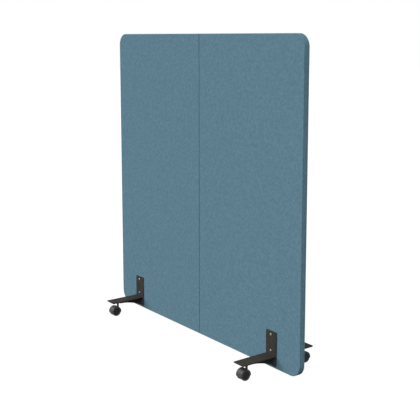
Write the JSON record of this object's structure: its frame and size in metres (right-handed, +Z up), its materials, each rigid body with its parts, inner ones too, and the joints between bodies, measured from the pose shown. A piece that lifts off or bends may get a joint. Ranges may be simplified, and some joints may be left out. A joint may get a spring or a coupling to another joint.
{
  "type": "rolling partition",
  "caption": "Free-standing fabric-covered acoustic partition panel with rounded corners on steel feet with twin-wheel casters.",
  "frame": {"origin": "on the floor, under the middle of the panel", "axes": "+X along the panel to its right end as seen from the front, +Y through the panel from the front face to the back, +Z up"},
  "size_m": [1.48, 0.418, 1.5195],
  "materials": {
    "felt": "matt blue-grey wool felt",
    "edge_felt": "matt blue-grey felt band",
    "padding": "needled polyester wadding",
    "panel_core": "pressed polyester fibre board",
    "timber": "planed softwood",
    "powder_coated_steel": "black fine-textured powder coat",
    "zinc_plated_steel": "zinc plated",
    "black_nylon": "black moulded nylon",
    "soft_tyre": "dark grey soft tread"
  },
  "bodies": {
    "panel": {"frame_top_rail": "timber", "frame_bottom_rail": "timber", "frame_left_stile": "timber", "frame_right_stile": "timber", "frame_centre_stile": "timber", "frame_dowels": "timber", "left_mount_block": "timber", "right_mount_block": "timber", "core_left": "panel_core", "core_right": "panel_core", "front_padding": "padding", "back_padding": "padding", "front_cover_left": "felt", "front_cover_right": "felt", "back_cover_left": "felt", "back_cover_right": "felt", "edge_band": "edge_felt", "threaded_sleeves": "zinc_plated_steel", "front_foot_screws": "zinc_plated_steel", "back_foot_screws": "zinc_plated_steel", "caster_stems": "powder_coated_steel", "stem_snap_rings": "zinc_plated_steel", "front_left_foot_plate": "powder_coated_steel", "front_left_foot_arm": "powder_coated_steel", "front_left_foot_rib": "powder_coated_steel", "front_right_foot_plate": "powder_coated_steel", "front_right_foot_arm": "powder_coated_steel", "front_right_foot_rib": "powder_coated_steel", "back_left_foot_plate": "powder_coated_steel", "back_left_foot_arm": "powder_coated_steel", "back_left_foot_rib": "powder_coated_steel", "back_right_foot_plate": "powder_coated_steel", "back_right_foot_arm": "powder_coated_steel", "back_right_foot_rib": "powder_coated_steel"},
    "front_left_caster": {"front_left_caster_body": "black_nylon", "front_left_caster_axle": "zinc_plated_steel"},
    "front_left_left_wheel": {"front_left_left_hub": "black_nylon", "front_left_left_tyre": "soft_tyre"},
    "front_left_right_wheel": {"front_left_right_hub": "black_nylon", "front_left_right_tyre": "soft_tyre"},
    "front_right_caster": {"front_right_caster_body": "black_nylon", "front_right_caster_axle": "zinc_plated_steel"},
    "front_right_left_wheel": {"front_right_left_hub": "black_nylon", "front_right_left_tyre": "soft_tyre"},
    "front_right_right_wheel": {"front_right_right_hub": "black_nylon", "front_right_right_tyre": "soft_tyre"},
    "back_left_caster": {"back_left_caster_body": "black_nylon", "back_left_caster_axle": "zinc_plated_steel"},
    "back_left_left_wheel": {"back_left_left_hub": "black_nylon", "back_left_left_tyre": "soft_tyre"},
    "back_left_right_wheel": {"back_left_right_hub": "black_nylon", "back_left_right_tyre": "soft_tyre"},
    "back_right_caster": {"back_right_caster_body": "black_nylon", "back_right_caster_axle": "zinc_plated_steel"},
    "back_right_left_wheel": {"back_right_left_hub": "black_nylon", "back_right_left_tyre": "soft_tyre"},
    "back_right_right_wheel": {"back_right_right_hub": "black_nylon", "back_right_right_tyre": "soft_tyre"}
  },
  "joints": [
    {"name": "front_left_swivel", "type": "hinge", "parent": "panel", "child": "front_left_caster", "pos_m": [-0.555, -0.162, 0.075], "axis": [0, 0, 1], "continuous": true},
    {"name": "front_left_left_wheel_spin", "type": "hinge", "parent": "front_left_caster", "child": "front_left_left_wheel", "pos_m": [-0.555, -0.1795, 0.025], "axis": [1, 0, 0], "continuous": true},
    {"name": "front_left_right_wheel_spin", "type": "hinge", "parent": "front_left_caster", "child": "front_left_right_wheel", "pos_m": [-0.555, -0.1795, 0.025], "axis": [1, 0, 0], "continuous": true},
    {"name": "front_right_swivel", "type": "hinge", "parent": "panel", "child": "front_right_caster", "pos_m": [0.555, -0.162, 0.075], "axis": [0, 0, 1], "continuous": true},
    {"name": "front_right_left_wheel_spin", "type": "hinge", "parent": "front_right_caster", "child": "front_right_left_wheel", "pos_m": [0.555, -0.1795, 0.025], "axis": [1, 0, 0], "continuous": true},
    {"name": "front_right_right_wheel_spin", "type": "hinge", "parent": "front_right_caster", "child": "front_right_right_wheel", "pos_m": [0.555, -0.1795, 0.025], "axis": [1, 0, 0], "continuous": true},
    {"name": "back_left_swivel", "type": "hinge", "parent": "panel", "child": "back_left_caster", "pos_m": [-0.555, 0.162, 0.075], "axis": [0, 0, 1], "continuous": true},
    {"name": "back_left_left_wheel_spin", "type": "hinge", "parent": "back_left_caster", "child": "back_left_left_wheel", "pos_m": [-0.555, 0.1795, 0.025], "axis": [1, 0, 0], "continuous": true},
    {"name": "back_left_right_wheel_spin", "type": "hinge", "parent": "back_left_caster", "child": "back_left_right_wheel", "pos_m": [-0.555, 0.1795, 0.025], "axis": [1, 0, 0], "continuous": true},
    {"name": "back_right_swivel", "type": "hinge", "parent": "panel", "child": "back_right_caster", "pos_m": [0.555, 0.162, 0.075], "axis": [0, 0, 1], "continuous": true},
    {"name": "back_right_left_wheel_spin", "type": "hinge", "parent": "back_right_caster", "child": "back_right_left_wheel", "pos_m": [0.555, 0.1795, 0.025], "axis": [1, 0, 0], "continuous": true},
    {"name": "back_right_right_wheel_spin", "type": "hinge", "parent": "back_right_caster", "child": "back_right_right_wheel", "pos_m": [0.555, 0.1795, 0.025], "axis": [1, 0, 0], "continuous": true}
  ]
}
